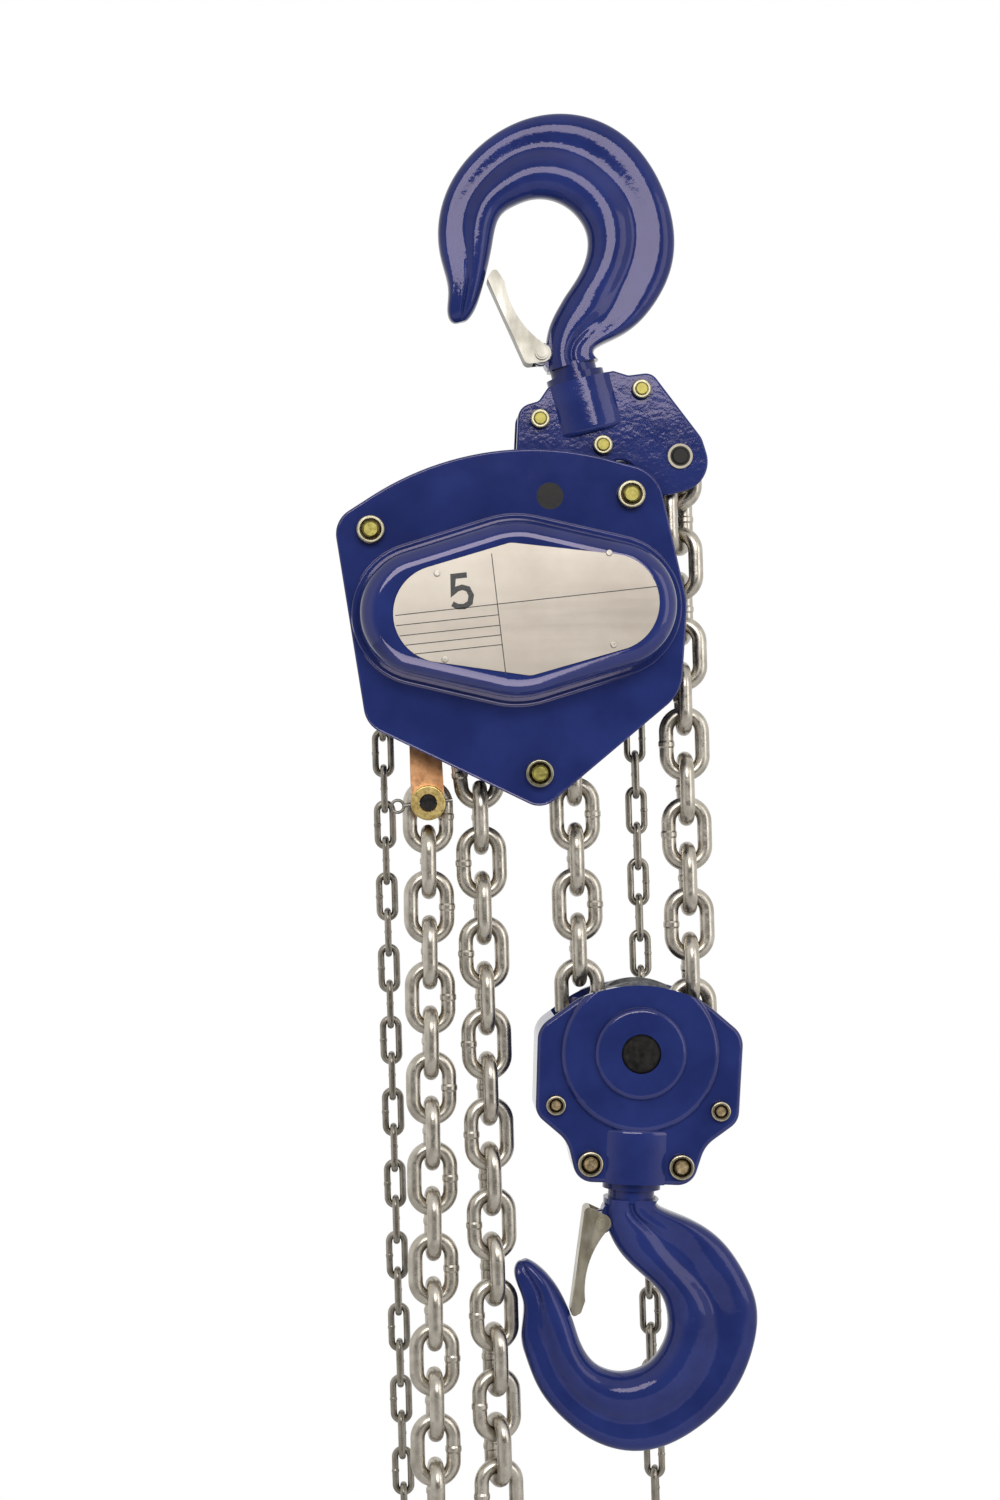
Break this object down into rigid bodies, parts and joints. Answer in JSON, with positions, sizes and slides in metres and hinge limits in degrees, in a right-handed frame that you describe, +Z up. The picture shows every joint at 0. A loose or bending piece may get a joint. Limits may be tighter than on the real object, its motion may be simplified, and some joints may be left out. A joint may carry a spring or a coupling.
{
  "type": "chain hoist",
  "caption": "hand chain hoist with top hook and yoke, gear case over a pocketed load sheave, looped hand chain, and a two fall load chain with bottom block and latched swivel hook",
  "frame": {"origin": "inner crown of the top hook, where the hoist hangs", "axes": "X right seen from the gear case side, Y away from that side, Z up"},
  "size_m": [0.2656, 0.1928, 1.0511],
  "materials": {
    "blue_paint": "deep ultramarine gloss enamel over forged, cast and pressed steel",
    "yellow_zinc": "steel with pale yellow zinc plating",
    "black_steel": "blackened steel, slightly oily",
    "chain_steel": "welded chain steel with dull galvanised grey plating",
    "hand_chain_steel": "welded chain steel with bright zinc plating",
    "bright_zinc": "pressed steel with bright zinc plating",
    "copper_finish": "steel with copper coloured plating",
    "machined_steel": "machined steel",
    "cast_iron": "grey cast iron",
    "bearing_bronze": "plain bearing bronze",
    "brake_lining": "pressed friction lining",
    "plate_aluminium": "thin satin aluminium with engraved lines"
  },
  "bodies": {
    "top_hook": {"top_hook": "blue_paint", "top_hook_nut": "machined_steel", "top_latch_pin": "bright_zinc"},
    "top_latch": {"top_latch": "bright_zinc"},
    "top_yoke": {"yoke_front_plate": "blue_paint", "yoke_rear_plate": "blue_paint", "yoke_bolts": "black_steel", "yoke_nuts": "yellow_zinc", "chain_anchor_pin": "black_steel", "top_thrust_bearing": "machined_steel"},
    "hoist_body": {"front_side_plate": "blue_paint", "rear_side_plate": "blue_paint", "gear_cover": "blue_paint", "nameplate": "plate_aluminium", "nameplate_rivets": "bright_zinc", "stay_bolts": "black_steel", "stay_tubes": "machined_steel", "stay_nuts": "yellow_zinc", "suspension_pin": "black_steel", "suspension_bushes": "machined_steel", "body_bearings": "bearing_bronze", "pawl_studs": "black_steel", "hand_wheel_cover": "blue_paint", "chain_stripper": "machined_steel", "tail_strap": "copper_finish", "tail_pins": "machined_steel", "tail_nut": "copper_finish", "tail_cotter_pin": "bright_zinc", "load_chain_dead_fall": "chain_steel", "load_chain_block_wrap": "chain_steel", "load_chain_live_fall": "chain_steel", "load_chain_sheave_wrap": "chain_steel", "load_chain_slack_loop": "chain_steel", "hand_chain": "hand_chain_steel"},
    "load_sheave": {"load_sheave": "cast_iron", "final_gear": "machined_steel", "drive_bushes": "bearing_bronze"},
    "left_idle_gears": {"left_disc_gear": "machined_steel", "left_pinion_shaft": "machined_steel"},
    "right_idle_gears": {"right_disc_gear": "machined_steel", "right_pinion_shaft": "machined_steel"},
    "hand_drive": {"drive_shaft": "machined_steel", "brake_hub": "machined_steel", "friction_discs": "brake_lining", "hand_wheel": "cast_iron", "castle_nut": "machined_steel"},
    "ratchet_disc": {"ratchet_disc": "machined_steel"},
    "left_pawl": {"left_pawl": "machined_steel"},
    "right_pawl": {"right_pawl": "machined_steel"},
    "bottom_block": {"block_front_shell": "blue_paint", "block_rear_shell": "blue_paint", "block_bolts": "black_steel", "block_nuts": "yellow_zinc", "block_axle": "black_steel", "bottom_thrust_bearing": "machined_steel"},
    "block_sheave": {"block_sheave": "cast_iron"},
    "bottom_hook": {"bottom_hook": "blue_paint", "bottom_hook_nut": "machined_steel", "bottom_latch_pin": "bright_zinc"},
    "bottom_latch": {"bottom_latch": "bright_zinc"}
  },
  "joints": [
    {"name": "top_latch_hinge", "type": "hinge", "parent": "top_hook", "child": "top_latch", "pos_m": [-0.00128, 0, -0.10404], "axis": [0, 1, 0], "range_deg": [0, 32], "stiffness_Nm_per_rad": 0.05, "springref_deg": -28.65},
    {"name": "top_hook_swivel", "type": "hinge", "parent": "top_hook", "child": "top_yoke", "pos_m": [0.02214, 0, -0.12371], "axis": [-0.2284, 0, 0.9736], "continuous": true},
    {"name": "body_swing", "type": "hinge", "parent": "top_yoke", "child": "hoist_body", "pos_m": [-0.00022, 0, -0.20137], "axis": [0, 1, 0], "range_deg": [-5, 5], "deforming": ["load_chain_dead_fall"]},
    {"name": "load_sheave_spin", "type": "hinge", "parent": "hoist_body", "child": "load_sheave", "pos_m": [-0.02533, 0, -0.27584], "axis": [0, -1, 0], "range_deg": [-90, 180], "deforming": ["load_chain_dead_fall", "load_chain_block_wrap", "load_chain_live_fall", "load_chain_sheave_wrap", "load_chain_slack_loop", "hand_chain"]},
    {"name": "left_idle_spin", "type": "hinge", "parent": "hoist_body", "child": "left_idle_gears", "pos_m": [-0.07082, 0, -0.2764], "axis": [0, -1, 0], "range_deg": [-720, 360]},
    {"name": "right_idle_spin", "type": "hinge", "parent": "hoist_body", "child": "right_idle_gears", "pos_m": [0.02017, 0, -0.27529], "axis": [0, -1, 0], "range_deg": [-720, 360]},
    {"name": "hand_wheel_spin", "type": "hinge", "parent": "hoist_body", "child": "hand_drive", "pos_m": [-0.02533, 0, -0.27584], "axis": [0, -1, 0], "range_deg": [-2160, 4320]},
    {"name": "ratchet_turn", "type": "hinge", "parent": "hoist_body", "child": "ratchet_disc", "pos_m": [-0.02533, 0, -0.27584], "axis": [0, -1, 0], "range_deg": [0, 24]},
    {"name": "left_pawl_lift", "type": "hinge", "parent": "hoist_body", "child": "left_pawl", "pos_m": [-0.06518, 0, -0.22835], "axis": [0, 1, 0], "range_deg": [0, 13.3]},
    {"name": "right_pawl_lift", "type": "hinge", "parent": "hoist_body", "child": "right_pawl", "pos_m": [0.01453, 0, -0.32334], "axis": [0, 1, 0], "range_deg": [0, 13.3]},
    {"name": "block_lift", "type": "slide", "parent": "hoist_body", "child": "bottom_block", "axis": [0, 0, 1], "range_m": [-0.0301, 0.0601]},
    {"name": "block_sheave_spin", "type": "hinge", "parent": "bottom_block", "child": "block_sheave", "pos_m": [0.04993, 0, -0.56774], "axis": [0, -1, 0], "range_deg": [-90.5, 45.5]},
    {"name": "bottom_hook_swivel", "type": "hinge", "parent": "bottom_block", "child": "bottom_hook", "pos_m": [0.04993, 0, -0.56774], "axis": [0.0698, 0, 0.9976], "continuous": true},
    {"name": "bottom_latch_hinge", "type": "hinge", "parent": "bottom_hook", "child": "bottom_latch", "pos_m": [0.02254, 0, -0.68131], "axis": [0, -1, 0], "range_deg": [0, 32], "stiffness_Nm_per_rad": 0.05, "springref_deg": -28.65}
  ],
  "couplings": [
    {"joint": "left_idle_spin", "follows": "load_sheave_spin", "ratio": -4},
    {"joint": "right_idle_spin", "follows": "load_sheave_spin", "ratio": -4},
    {"joint": "hand_wheel_spin", "follows": "load_sheave_spin", "ratio": 24},
    {"joint": "block_lift", "follows": "load_sheave_spin", "m_per_rad": 0.019099},
    {"joint": "block_sheave_spin", "follows": "load_sheave_spin", "ratio": -0.5},
    {"joint": "left_pawl_lift", "follows": "ratchet_turn", "ratio": 0.55},
    {"joint": "right_pawl_lift", "follows": "ratchet_turn", "ratio": 0.55}
  ]
}
